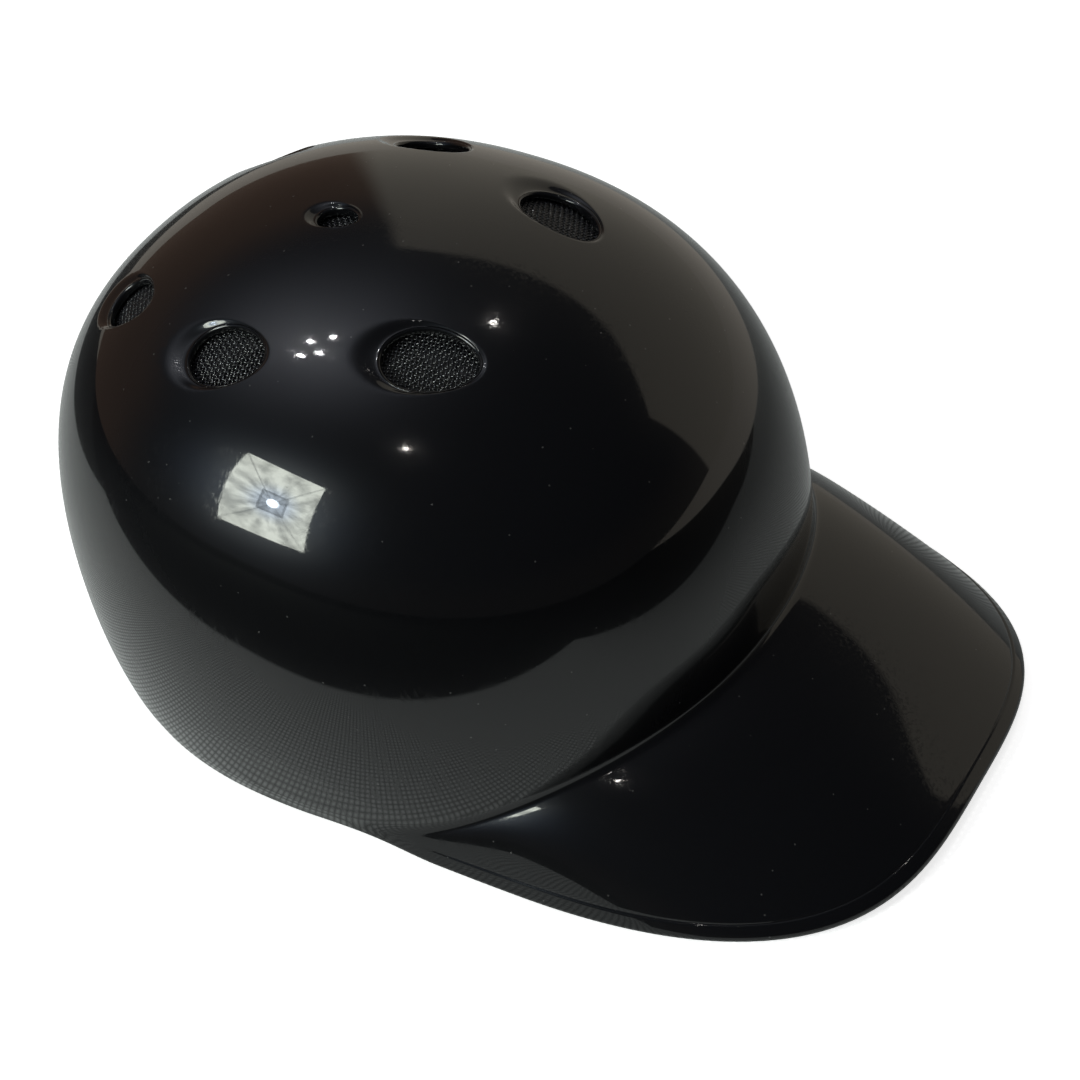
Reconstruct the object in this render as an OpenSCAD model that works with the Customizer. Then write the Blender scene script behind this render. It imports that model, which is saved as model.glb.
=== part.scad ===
// Cap-style coach helmet: one moulded shell with its visor, vent screens, foam liners
// and fit pads held by hook discs. Millimetres, +Z up, the visor points along -Y,
// +X is the wearer's left. The helmet stands on z = 0 on its visor and its back rim.

/* [Dome] */
// Width of the shell over the ears
dome_w = 204; // [185:1:220]
// Reach of the dome from its middle line to the forehead
front_reach = 114.9; // [104:0.1:126]
// Reach of the dome from its middle line to the back of the head
back_reach = 117; // [104:0.1:130]
// Height of the crown over the widest line
dome_rise = 107.5; // [98:0.5:118]
// Height of the widest line over the lowest edge
widest_z = 47.4; // [44:0.1:56]
// Squareness of the plan outline, where 2 is an ellipse
plan_square = 2.18; // [2:0.01:2.5]
// Fullness of the dome's shoulders
shoulder = 0.238; // [0.15:0.001:0.3]
// How much fuller the back is than the forehead
back_fullness = 0.067; // [0:0.001:0.1]
// Wall of the shell
shell_t = 3.5; // [2.5:0.1:5]

/* [Rim and visor] */
// Height of the rim beside the ears
ear_rim_z = 9; // [5:0.5:14]
// Height of the crease over the rim behind the visor
crease_lift = 6; // [5:0.5:8]
// Height of the crease in the middle of the forehead
crease_front_z = 43.9; // [36:0.1:48]
// Height of the crease over the temples
crease_temple_z = 35.7; // [30:0.1:40]
// Radius of the fillet in the crease
crease_fillet = 3; // [2:0.5:5]
// Angle from the front at which the visor runs out into the rim
visor_end = 75; // [70:1:80]
// Reach of the visor from the dome's middle line
visor_reach = 181.2; // [165:0.1:195]
// Width of the visor's outline
visor_w = 191.8; // [180:0.1:200]
// Squareness of the visor's outline
visor_square = 3.2; // [2.5:0.1:4]
// Height of the visor's top edge in the middle
visor_front_z = 8; // [6:0.1:14]
// Height of the visor's top edge at its corners
visor_corner_z = 4.1; // [3:0.1:8]
// Crown of the visor between the crease and the edge
visor_bulge = 5; // [0:0.5:7]
// Thickness of the visor
visor_t = 4; // [3:0.1:5]

/* [Vents] */
// Azimuth, polar angle, heading, half length and half width of the front pair
front_vent = [44.1, 22.8, 18, 13.6, 9.5];
// The same for the middle pair
mid_vent = [111, 26.7, 12, 12.5, 9.1];
// The same for the rear pair
rear_vent = [150.7, 34.3, -5, 10.5, 8.2];
// The same for the single vent behind the crown
crown_vent = [180, 6.3, 0, 6.5, 4.7];
// Share by which a vent is narrower towards its front end and wider towards its rear end
vent_taper = 0.1; // [0:0.01:0.25]
// Depth of the dish moulded round each vent
dish_depth = 1.7; // [0.8:0.1:2]
// Width of the dish beside the vent
dish_side = 1.4; // [1:0.1:4]
// Length of the dish behind the vent
dish_back = 7; // [3:0.1:8]
// Width of the level lip between the dish and the hole
dish_lip = 0.5; // [0.3:0.1:1]
// Thickness of a vent screen
screen_t = 0.8; // [0.5:0.1:1.2]
// Lap of a vent screen under the shell round the vent
screen_lap = 4; // [3:0.5:6]

/* [Foam liners] */
// Thickness of the impact foam
liner_t = 9; // [7:0.5:12]
// Glue line between the shell and what is bonded to it
glue_gap = 0.6; // [0.4:0.05:0.8]
// Polar angle at which the crown liner ends beside the ears
crown_edge = 46; // [43:1:50]
// How much further the crown liner reaches down at the back than at the front
crown_shift = 12; // [8:1:14]
// Angle of the open channel round the crown liner
channel = 5; // [3:0.5:8]
// Height of the liners' lower edge over the crease
liner_lift = 3; // [3:0.5:8]
// Half span of the front liner
front_span = 44; // [36:1:46]
// Azimuth of the middle of a side liner
side_azimuth = 92; // [90:1:94]
// Half span of a side liner
side_span = 37; // [30:1:39]
// Half span of the rear liner
rear_span = 44; // [34:1:45]
// Bevel round the liners' inner face
liner_bevel = 3; // [1:0.5:4]
// Room between a vent and the edge of the foam behind it
foam_room = 0.8; // [0.5:0.1:2]

/* [Fit pads] */
// Thickness of a fit pad
pad_t = 6; // [4:0.5:8]
// Height of the pads round the head
pad_h = 34; // [26:1:40]
// Height of the pads' lower edge over the liners' lower edge
pad_lift = 4; // [3:0.5:7]
// Half span of the brow pad
brow_span = 37; // [30:1:38]
// Half span of a temple pad
temple_span = 29; // [24:1:30]
// Half span of the nape pad
nape_span = 36; // [28:1:37]
// Radius of the crown pad as an angle of the dome
crown_pad_angle = 14; // [12:0.5:15]
// Radius of the opening in the crown pad under its vent
crown_pad_hole = 8; // [7:0.5:10]
// Bevel round the pads' inner face
pad_bevel = 3; // [1:0.5:3.5]
// Thickness of the loop fabric on the back of a pad
backing_t = 0.8; // [0.5:0.1:1.2]
// Bond line between a pad and its loop fabric
bond_gap = 0.2; // [0.1:0.05:0.3]
// Thickness of a hook disc
hook_t = 0.8; // [0.6:0.1:1.2]
// Radius of a hook disc
hook_r = 9; // [7:0.5:10]
// Seat of a hook disc over the foam
hook_gap = 0.4; // [0.2:0.05:0.5]
// Clearance between a hook disc and the loop fabric
pad_gap = 0.35; // [0.3:0.05:0.5]

/* [Hidden] */

RIGHT = -1;
LEFT = 1;

SHELL_BLACK = "#101114";
SCREEN_GREY = "#3a3b3e";
FOAM_GREY = "#2b2c30";
PAD_BLACK = "#1b1c20";
LOOP_GREY = "#46484d";
HOOK_BLACK = "#0a0a0c";

// Samples of the skin: round the front half, round the back half and down the dome
front_steps = 21;
back_steps = 11;
dome_rows = 13;
fillet_rows = 3;
visor_rows = 3;
// Half step of the difference that gives the skin's slope, in degrees
slope_step = 0.2;
// Angle over which the visor's outline blends into the rim, and how far before the visor's end it starts
visor_blend = 22;
blend_lead = 14;
// Roundness of the corner between the visor's outline and the rim
outline_blend = 5;
// Extent of the visor over which its thickness and its bulge build up
thickness_build = 15;
bulge_build = 40;
// Height over the skin at which the cut for a dish starts, and the thickness of its two end faces
dish_over = 1;
dish_leaf = 0.01;

// Depths below the outer skin at which each layer starts
screen_d = shell_t + glue_gap;
liner_d = shell_t + glue_gap;
liner_in_d = liner_d + liner_t;
// Mean radius of the dome, for the sag of flat cuts and discs across it
dome_r_mean = (dome_w / 2 + dome_rise) / 2;
// Sag of the foam under a flat hook disc, where its inner face is tightest
hook_sag = hook_r * hook_r / (2 * (dome_r_mean - 2 * liner_in_d));
hook_d = liner_in_d + hook_gap + hook_sag;
backing_d = hook_d + hook_t + pad_gap;
pad_d = backing_d + backing_t + bond_gap;

function smooth(x) = let (t = min(1, max(0, x))) t * t * (3 - 2 * t);
function unit(v) = v / norm(v);
function mix(a, b, t) = a + (b - a) * t;

// Height that starts at v0, passes v1 half way and ends level at v2 after the visor's end
function rail(a, v0, v1, v2) =
    let (q = 180 * min(1, abs(a) / visor_end), mean = (v0 + v2) / 2)
    (mean + v1) / 2 + (v0 - v2) / 2 * cos(q) + (mean - v1) / 2 * cos(2 * q);

// The dome's outer skin
function half_length(a) = mix(back_reach, front_reach, (1 + cos(a)) / 2);
function plan_r(a) =
    pow(pow(abs(sin(a)) / (dome_w / 2), plan_square) + pow(abs(cos(a)) / half_length(a), plan_square),
        -1 / plan_square);
function dome_radius(a, t) = plan_r(a) * sin(t) * (1 + (shoulder - back_fullness * cos(a)) * pow(cos(t), 2));
function dome_point(a, t) = radial(a, dome_radius(a, t), widest_z + dome_rise * cos(t));
function radial(a, r, z) = [r * sin(a), -r * cos(a), z];
function polar_at(z) = acos((z - widest_z) / dome_rise);

// A point below the skin by depth d. u and v are the polar angle split to the left and to the front.
function skin(u, v, d) =
    let (
        h = slope_step,
        across = dome_uv(u + h, v) - dome_uv(u - h, v),
        along = dome_uv(u, v + h) - dome_uv(u, v - h)
    )
    dome_uv(u, v) - d * unit(cross(along, across));
function dome_uv(u, v) = dome_point(atan2(u, v), norm([u, v]));
function normal(u, v) = skin(u, v, -1) - skin(u, v, 0);

// Heights of the rim, the crease and the visor's edge at an azimuth
function rim_z(a) =
    abs(a) <= visor_end ? ear_rim_z :
    mix(ear_rim_z, back_rim_z, smooth((abs(a) - visor_end) / (180 - visor_end)));
function crease_z(a) =
    abs(a) < visor_end ? rail(a, crease_front_z, crease_temple_z, ear_rim_z + crease_lift) : rim_z(a) + crease_lift;
function edge_z(a) = abs(a) < visor_end ? rail(a, visor_front_z, visor_corner_z, ear_rim_z) : rim_z(a);

// Radius of the visor's outline, which grows out of the rim without a corner
function visor_outline(a) =
    cos(a) < 0.02 ? 0 :
    pow(pow(abs(sin(a)) / (visor_w / 2), visor_square) + pow(cos(a) / visor_reach, visor_square), -1 / visor_square);
function edge_radius(a) =
    let (
        rim_r = dome_radius(a, polar_at(rim_z(a))),
        out = visor_outline(a) - rim_r,
        fade = 1 - smooth((abs(a) - visor_end + blend_lead) / visor_blend)
    )
    rim_r + fade * (out + sqrt(out * out + outline_blend * outline_blend)) / 2;
function visor_share(a) =
    smooth((edge_radius(a) - dome_radius(a, polar_at(crease_z(a)))) / thickness_build);

// One column of the outer skin, from under the crown over the crease to the edge
function column(a) =
    let (
        crease_t = polar_at(crease_z(a)),
        crease = dome_point(a, crease_t),
        share = visor_share(a),
        edge = radial(a, edge_radius(a) - share * visor_t / 2, edge_z(a) + (1 - share) * shell_t / 2),
        length = norm(edge - crease),
        out = min(crease_fillet, length / 2) / length,
        start_t = crease_t - crease_fillet / dome_rise * 180 / PI,
        start = dome_point(a, start_t),
        foot = visor_point(crease, edge, out)
    )
    concat(
        [for (i = [1:dome_rows]) dome_point(a, start_t * i / dome_rows)],
        [for (i = [1:fillet_rows]) bend(start, crease, foot, i / fillet_rows)],
        [for (i = [1:visor_rows]) visor_point(crease, edge, mix(out, 1, i / visor_rows))]
    );
function visor_point(crease, edge, t) =
    mix(crease, edge, t) + [0, 0, 4 * t * (1 - t) * visor_bulge * smooth(norm(edge - crease) / bulge_build)];
function bend(p, q, r, t) = mix(mix(p, q, t), mix(q, r, t), t);

last_row = dome_rows + fillet_rows + visor_rows - 1;
inner_rows = [for (i = [last_row:-1:0]) if (i < dome_rows || (last_row - i) % 2 == 0) i];

function column_normals(a) =
    let (here = column(a), next = column(a + slope_step), before = column(a - slope_step))
    [for (i = [0:last_row])
        unit(cross(here[min(last_row, i + 1)] - (i == 0 ? dome_point(a, 0) : here[i - 1]), next[i] - before[i]))];
function wall_at(a, i) = mix(shell_t, visor_t, visor_share(a) * smooth((i - dome_rows) / fillet_rows));

// The half round along the visor's edge and the rim
function rounded_edge(a, here, n) =
    let (
        r = wall_at(a, last_row) / 2,
        up = n[last_row],
        sheet = here[last_row] - here[last_row - 1],
        out = unit(sheet - up * (sheet * up)),
        middle = here[last_row] - up * r
    )
    [for (k = [45:45:135]) middle + r * (up * cos(k) + out * sin(k))];

// One closed column: the outer skin, the rounded edge and the inner skin back to the crown
function shell_column(a) =
    let (here = column(a), n = column_normals(a))
    concat(here, rounded_edge(a, here, n), [for (i = inner_rows) here[i] - n[i] * wall_at(a, i)]);

front_angles = [for (i = [0:front_steps - 1]) 90 * i / front_steps];
back_angles = [for (i = [0:back_steps]) 90 + 90 * i / back_steps];
half_angles = concat(front_angles, back_angles);
angles = concat(half_angles, [for (i = [len(half_angles) - 2:-1:1]) -half_angles[i]]);

// The back rim comes down to the level of the visor's corners, so that the helmet stands level
visor_angles = [for (a = front_angles) if (a + slope_step < visor_end) a];
back_rim_z = min([for (a = visor_angles, p = rounded_edge(a, column(a), column_normals(a))) p.z]);
columns = [for (a = angles) shell_column(a)];
rest_z = min([for (c = columns) for (p = c) p.z]);
mid_y = (min([for (c = columns) for (p = c) p.y]) + max([for (c = columns) for (p = c) p.y])) / 2;

module stand() translate([0, -mid_y, -rest_z]) children();

// Turns a local frame so that +Z is the skin's normal at [u, v] and +Y heads forward
module on_skin(u, v, d, heading = 0) {
    n = normal(u, v);
    ahead = [-sin(heading), -cos(heading), 0];
    y = unit(ahead - n * (ahead * n));
    x = cross(y, n);
    p = skin(u, v, d);
    multmatrix([
        [x.x, y.x, n.x, p.x],
        [x.y, y.y, n.y, p.y],
        [x.z, y.z, n.z, p.z],
        [0, 0, 0, 1]
    ]) children();
}

// A vent is placed by its azimuth on either side of the head
function vent_uv(vent, side) = vent[1] * [side * sin(vent[0]), cos(vent[0])];
module at_vent(vent, side) {
    uv = vent_uv(vent, side);
    on_skin(uv[0], uv[1], 0, side * vent[2]) children();
}
module each_vent() {
    for (vent = [front_vent, mid_vent, rear_vent], side = [RIGHT, LEFT]) {
        $vent = vent;
        at_vent(vent, side) children();
    }
    $vent = crown_vent;
    at_vent(crown_vent, LEFT) children();
}

// The egg-shaped outline of a vent, grown by room all round, with its narrow end in front
function vent_outline(vent, room, sides, back = 0) =
    [for (k = [0:sides - 1]) let (a = 360 * (k + 0.5) / sides)
        [(vent[4] + room) * sin(a) * (1 - vent_taper * cos(a)), (vent[3] + room + back / 2) * cos(a) - back / 2]];

module egg(vent, room, low, high, sides) {
    translate([0, 0, low]) linear_extrude(high - low) polygon(vent_outline(vent, room, sides));
}

// The shallow dish round a vent, longer at the back
module dish(vent, sides) {
    sag = vent[4] * vent[4] / (2 * dome_r_mean);
    share = vent[3] / front_vent[3];
    spread = share * (dish_depth + dish_over) / dish_depth;
    hull() {
        translate([0, 0, -dish_depth - sag])
            linear_extrude(dish_leaf) polygon(vent_outline(vent, dish_lip, sides));
        translate([0, 0, dish_over])
            linear_extrude(dish_leaf) polygon(vent_outline(vent, dish_lip + dish_side * spread, sides, dish_back * spread));
    }
}

module shell() {
    n = len(angles);
    m = len(columns[0]);
    crown_top = n * m;
    crown_under = n * m + 1;
    points = concat(
        [for (c = columns) for (p = c) p],
        [dome_point(0, 0), dome_point(0, 0) - [0, 0, shell_t]]
    );
    walls = [for (j = [0:n - 1], i = [0:m - 2])
        let (k = (j + 1) % n) [j * m + i, j * m + i + 1, k * m + i + 1, k * m + i]];
    halves = [for (w = walls) each [[w[0], w[2], w[1]], [w[0], w[3], w[2]]]];
    caps = [for (j = [0:n - 1])
        let (k = (j + 1) % n) each [[crown_top, k * m, j * m], [crown_under, j * m + m - 1, k * m + m - 1]]];
    color(SHELL_BLACK) stand() difference() {
        polyhedron(points, concat(halves, caps));
        each_vent() {
            egg($vent, 0, -shell_t * 3, shell_t, 26);
            dish($vent, 26);
        }
    }
}

// Pulls the corners of the unit square in, to a round or to a rounded rectangle
function to_round(s, t) = [s * sqrt(1 - t * t / 2), t * sqrt(1 - s * s / 2)];
function to_block(s, t) = [s * (1 - 0.12 * pow(t, 8)), t * (1 - 0.12 * pow(s, 8))];

// A closed slab that follows the skin between two depths. place(s, t) gives [u, v] over the unit
// square, half is its half width and height in mm, and the bevel is taken off its inner face.
module slab(place, half, steps, d_out, d_in, bevel) {
    nu = steps[0];
    nv = steps[1];
    row = nu + 1;
    count = row * (nv + 1);
    ring = concat(
        [for (i = [0:nu - 1]) i],
        [for (j = [0:nv - 1]) j * row + nu],
        [for (i = [nu:-1:1]) nv * row + i],
        [for (j = [nv:-1:1]) j * row]
    );
    m = len(ring);
    inset = [1 - bevel / half[0], 1 - bevel / half[1]];
    function at(k, size, d) =
        let (uv = place(size[0] * (2 * (k % row) / nu - 1), size[1] * (2 * floor(k / row) / nv - 1)))
        skin(uv[0], uv[1], d);
    outer = [for (k = [0:count - 1]) at(k, [1, 1], d_out)];
    inner = [for (k = [0:count - 1]) at(k, inset, d_in)];
    waist = [for (k = ring) at(k, [1, 1], d_in - bevel)];
    cells = [for (j = [0:nv - 1], i = [0:nu - 1])
        let (a = j * row + i, b = a + 1, c = b + row, d = a + row)
        each [[a, b, c], [a, c, d]]];
    beveled = bevel > 0;
    low = 2 * count;
    walls = [for (i = [0:m - 1]) let (k = (i + 1) % m)
        each beveled
            ? [[ring[i], low + i, low + k], [ring[i], low + k, ring[k]],
               [low + i, count + ring[i], count + ring[k]], [low + i, count + ring[k], low + k]]
            : [[ring[i], count + ring[i], count + ring[k]], [ring[i], count + ring[k], ring[k]]]];
    polyhedron(
        concat(outer, inner, beveled ? waist : []),
        concat(cells, [for (f = cells) [count + f[0], count + f[2], count + f[1]]], walls)
    );
}

// Millimetres of skin under one degree of polar angle
function mm_per_degree(u, v) = norm(skin(u, v + 0.5, 0) - skin(u, v - 0.5, 0));

module vent_screen(vent, side) {
    uv = vent_uv(vent, side);
    scale_uv = mm_per_degree(uv[0], uv[1]);
    half = [vent[4] + screen_lap, vent[3] + screen_lap];
    turn = side * vent[2];
    place = function (s, t) let (
        q = to_round(s, t),
        x = q[0] * half[0] / scale_uv,
        y = q[1] * half[1] / scale_uv
    ) uv + [x * cos(turn) - y * sin(turn), x * sin(turn) + y * cos(turn)];
    color(SCREEN_GREY) stand() slab(place, half, [4, 5], screen_d, screen_d + screen_t, 0);
}

// Lower edge of the liners, and the top edge that the crown liner leaves them
function wrapped(a) = a > 180 ? a - 360 : a;
function liner_low(a) = crease_z(wrapped(a)) + liner_lift;
function crown_edge_at(a) = crown_edge - crown_shift / 2 * cos(a);

module band(azimuth, span, top_z, low_z, steps, d_out, d_in, bevel, height) {
    place = function (s, t) let (
        q = to_block(s, t),
        a = azimuth + span * q[0],
        polar = mix(top_z(a), polar_at(low_z(a)), (q[1] + 1) / 2)
    ) polar * [sin(a), cos(a)];
    half = [span * PI / 180 * dome_w / 2, height / 2];
    slab(place, half, steps, d_out, d_in, bevel);
}

module side_liner_block(azimuth, span) {
    top = function (a) crown_edge_at(a) + channel;
    low = function (a) liner_low(a);
    color(FOAM_GREY) stand() band(azimuth, span, top, low, [12, 6], liner_d, liner_in_d, liner_bevel, 2 * pad_h);
}

module crown_liner() {
    place = function (s, t) let (q = to_round(s, t), a = atan2(q[0], q[1])) q * crown_edge_at(a);
    half = crown_edge * dome_r_mean * PI / 180 * [1, 1];
    color(FOAM_GREY) stand() difference() {
        slab(place, half, [12, 12], liner_d, liner_in_d, liner_bevel);
        each_vent() {
            lap = screen_lap + foam_room;
            reach = $vent[3] + lap;
            egg($vent, foam_room, -liner_in_d - shell_t * 3, shell_t, 18);
            egg($vent, lap, -screen_d - screen_t - glue_gap - reach * reach / (2 * dome_r_mean), shell_t, 18);
        }
    }
}

// Height range of the pads round the head
function pad_low(a) = liner_low(a) + pad_lift;
function pad_mid(a) = pad_low(a) + pad_h / 2;

module pad_layer(azimuth, span, d_out, d_in, bevel, steps) {
    top = function (a) polar_at(pad_low(a) + pad_h);
    low = function (a) pad_low(a);
    stand() band(azimuth, span, top, low, steps, d_out, d_in, bevel, pad_h);
}
module side_pad(azimuth, span) color(PAD_BLACK) pad_layer(azimuth, span, pad_d, pad_d + pad_t, pad_bevel, [12, 4]);
module side_backing(azimuth, span) color(LOOP_GREY) pad_layer(azimuth, span, backing_d, backing_d + backing_t, 0, [12, 4]);

module crown_layer(d_out, d_in, bevel, steps) {
    centre = vent_uv(crown_vent, LEFT);
    place = function (s, t) centre + crown_pad_angle * to_round(s, t);
    half = crown_pad_angle * dome_r_mean * PI / 180 * [1, 1];
    stand() difference() {
        slab(place, half, steps, d_out, d_in, bevel);
        at_vent(crown_vent, LEFT) translate([0, 0, -2 * d_in]) cylinder(r = crown_pad_hole, h = 2 * d_in, $fn = 32);
    }
}

// Hook discs lie flat on the foam, at a list of azimuths and polar angles
module hooks(places) {
    color(HOOK_BLACK) stand() for (p = places)
        on_skin(p[1] * sin(p[0]), p[1] * cos(p[0]), hook_d + hook_t)
            cylinder(r = hook_r, h = hook_t, $fn = 48);
}
module side_hooks(azimuths) hooks([for (a = azimuths) [a, polar_at(pad_mid(a))]]);
module crown_hooks() {
    centre = vent_uv(crown_vent, LEFT);
    ring = (crown_pad_angle + crown_pad_hole / mm_per_degree(0, 0)) / 2;
    hooks([for (k = [0:3]) let (uv = centre + ring * [sin(90 * k + 45), cos(90 * k + 45)]) [atan2(uv[0], uv[1]), norm(uv)]]);
}

shell();
vent_screen(front_vent, RIGHT);  // front_right_vent_screen
vent_screen(front_vent, LEFT);  // front_left_vent_screen
vent_screen(mid_vent, RIGHT);  // mid_right_vent_screen
vent_screen(mid_vent, LEFT);  // mid_left_vent_screen
vent_screen(rear_vent, RIGHT);  // rear_right_vent_screen
vent_screen(rear_vent, LEFT);  // rear_left_vent_screen
vent_screen(crown_vent, LEFT);  // crown_vent_screen
crown_liner();
side_liner_block(0, front_span);  // front_liner
side_liner_block(RIGHT * side_azimuth, side_span);  // right_liner
side_liner_block(LEFT * side_azimuth, side_span);  // left_liner
side_liner_block(180, rear_span);  // rear_liner
crown_hooks();
side_hooks([-24, 0, 24]);  // front_hooks
side_hooks(RIGHT * [side_azimuth - 15, side_azimuth + 15]);  // right_hooks
side_hooks(LEFT * [side_azimuth - 15, side_azimuth + 15]);  // left_hooks
side_hooks([156, 180, 204]);  // rear_hooks
color(PAD_BLACK) crown_layer(pad_d, pad_d + pad_t, pad_bevel, [8, 8]);  // crown_pad
side_pad(0, brow_span);  // brow_pad
side_pad(RIGHT * side_azimuth, temple_span);  // right_temple_pad
side_pad(LEFT * side_azimuth, temple_span);  // left_temple_pad
side_pad(180, nape_span);  // nape_pad
color(LOOP_GREY) crown_layer(backing_d, backing_d + backing_t, 0, [8, 8]);  // crown_pad_backing
side_backing(0, brow_span);  // brow_pad_backing
side_backing(RIGHT * side_azimuth, temple_span);  // right_temple_pad_backing
side_backing(LEFT * side_azimuth, temple_span);  // left_temple_pad_backing
side_backing(180, nape_span);  // nape_pad_backing
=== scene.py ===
"""The visual model of a cap-style coach helmet, built round the part's own frame."""

import math
from functools import partialmethod

import bmesh
import bpy
import numpy as np
from mathutils import Matrix, Vector, geometry


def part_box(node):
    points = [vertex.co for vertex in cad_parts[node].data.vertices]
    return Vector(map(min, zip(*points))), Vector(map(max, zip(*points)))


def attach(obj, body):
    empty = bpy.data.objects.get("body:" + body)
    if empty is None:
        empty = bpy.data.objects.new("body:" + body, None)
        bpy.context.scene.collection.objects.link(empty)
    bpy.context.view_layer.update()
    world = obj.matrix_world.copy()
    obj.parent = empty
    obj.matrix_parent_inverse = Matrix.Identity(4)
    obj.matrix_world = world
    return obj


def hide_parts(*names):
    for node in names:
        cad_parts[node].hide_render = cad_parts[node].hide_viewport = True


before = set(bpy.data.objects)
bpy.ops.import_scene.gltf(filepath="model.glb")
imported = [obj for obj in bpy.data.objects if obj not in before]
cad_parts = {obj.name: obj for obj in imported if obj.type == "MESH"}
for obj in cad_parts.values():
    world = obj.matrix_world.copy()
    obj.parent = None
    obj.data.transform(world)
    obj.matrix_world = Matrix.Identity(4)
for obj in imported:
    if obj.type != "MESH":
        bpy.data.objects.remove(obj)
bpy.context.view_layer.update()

scene = bpy.context.scene
MM = 0.001

# Driving sizes, as in the part's source, in mm and degrees
DOME_W = 204.0
FRONT_REACH = 114.9
BACK_REACH = 117.0
DOME_RISE = 107.5
WIDEST_Z = 47.4
PLAN_SQUARE = 2.18
SHOULDER = 0.238
BACK_FULLNESS = 0.067
SHELL_T = 3.5
EAR_RIM_Z = 9.0
CREASE_LIFT = 6.0
CREASE_FRONT_Z = 43.9
CREASE_TEMPLE_Z = 35.7
CREASE_FILLET = 3.0
VISOR_END = 75.0
VISOR_REACH = 181.2
VISOR_W = 191.8
VISOR_SQUARE = 3.2
VISOR_FRONT_Z = 8.0
VISOR_CORNER_Z = 4.1
VISOR_BULGE = 5.0
VISOR_T = 4.0
VISOR_BLEND = 22
BLEND_LEAD = 14
OUTLINE_BLEND = 5
THICKNESS_BUILD = 15
BULGE_BUILD = 40
FRONT_STEPS = 21
SLOPE_STEP = 0.2
GLUE_GAP = 0.6
SCREEN_T = 0.8
SCREEN_LAP = 4
LINER_T = 9.0
LINER_LIFT = 3
LINER_BEVEL = 3.0
FOAM_ROOM = 0.8
CROWN_EDGE = 46
CROWN_SHIFT = 12
CHANNEL = 5
SIDE_AZIMUTH = 92
HOOK_T = 0.8
HOOK_R = 9.0
HOOK_GAP = 0.4
PAD_T = 6.0
PAD_H = 34.0
PAD_LIFT = 4
PAD_GAP = 0.35
CROWN_PAD_ANGLE = 14.0
CROWN_PAD_HOLE = 8.0
BACKING_T = 0.8
BOND_GAP = 0.2

# Depths below the outer skin at which each layer starts
SCREEN_D = SHELL_T + GLUE_GAP
LINER_D = SCREEN_D
LINER_IN_D = LINER_D + LINER_T
DOME_R_MEAN = (DOME_W / 2 + DOME_RISE) / 2
HOOK_D = LINER_IN_D + HOOK_GAP + HOOK_R**2 / (2 * (DOME_R_MEAN - 2 * LINER_IN_D))
BACKING_D = HOOK_D + HOOK_T + PAD_GAP
PAD_D = BACKING_D + BACKING_T + BOND_GAP


def sind(a):
    return np.sin(np.radians(a))


def cosd(a):
    return np.cos(np.radians(a))


def smooth(x):
    t = np.clip(x, 0.0, 1.0)
    return t * t * (3 - 2 * t)


def unit(v):
    return v / np.linalg.norm(v, axis=-1, keepdims=True)


def across_normal(v, n):
    """The direction of v in the plane that n stands on."""
    return unit(v - n * np.sum(v * n, -1, keepdims=True))


def mix(a, b, t):
    return a + (b - a) * t


# The skin: a is an azimuth from the visor, t a polar angle from the crown


def rail(a, v0, v1, v2):
    """Height from v0 past v1 half way, level at v2 at the visor's end."""
    q = 180 * np.minimum(1, np.abs(a) / VISOR_END)
    mean = (v0 + v2) / 2
    return (mean + v1) / 2 + (v0 - v2) / 2 * cosd(q) + (mean - v1) / 2 * cosd(2 * q)


def plan_r(a):
    half = mix(BACK_REACH, FRONT_REACH, (1 + cosd(a)) / 2)
    x = (np.abs(sind(a)) / (DOME_W / 2)) ** PLAN_SQUARE
    y = (np.abs(cosd(a)) / half) ** PLAN_SQUARE
    return (x + y) ** (-1 / PLAN_SQUARE)


def dome_radius(a, t):
    return plan_r(a) * sind(t) * (1 + (SHOULDER - BACK_FULLNESS * cosd(a)) * cosd(t) ** 2)


def radial(a, r, z):
    return np.stack(np.broadcast_arrays(r * sind(a), -r * cosd(a), z), -1)


def dome_point(a, t):
    return radial(a, dome_radius(a, t), WIDEST_Z + DOME_RISE * cosd(t))


def polar_at(z):
    return np.degrees(np.arccos((z - WIDEST_Z) / DOME_RISE))


def polar_of(uv):
    """Azimuths and polar angles of [u, v] points, the polar angle split to the left and the front."""
    return np.degrees(np.arctan2(uv[:, 0], uv[:, 1])), np.hypot(uv[:, 0], uv[:, 1])


def dome_uv(u, v):
    return dome_point(np.degrees(np.arctan2(u, v)), np.hypot(u, v))


def skin_normal(u, v, h=SLOPE_STEP):
    across = dome_uv(u + h, v) - dome_uv(u - h, v)
    along = dome_uv(u, v + h) - dome_uv(u, v - h)
    return unit(np.cross(along, across))


def skin(u, v, d):
    """Points below the outer skin by depth d."""
    return dome_uv(u, v) - np.asarray(d)[..., None] * skin_normal(u, v)


def rim_z(a, back_z):
    f = smooth((np.abs(a) - VISOR_END) / (180 - VISOR_END))
    return np.where(np.abs(a) <= VISOR_END, EAR_RIM_Z, mix(EAR_RIM_Z, back_z, f))


def crease_z(a, back_z):
    on = rail(a, CREASE_FRONT_Z, CREASE_TEMPLE_Z, EAR_RIM_Z + CREASE_LIFT)
    return np.where(np.abs(a) < VISOR_END, on, rim_z(a, back_z) + CREASE_LIFT)


def edge_z(a, back_z):
    on = rail(a, VISOR_FRONT_Z, VISOR_CORNER_Z, EAR_RIM_Z)
    return np.where(np.abs(a) < VISOR_END, on, rim_z(a, back_z))


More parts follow.
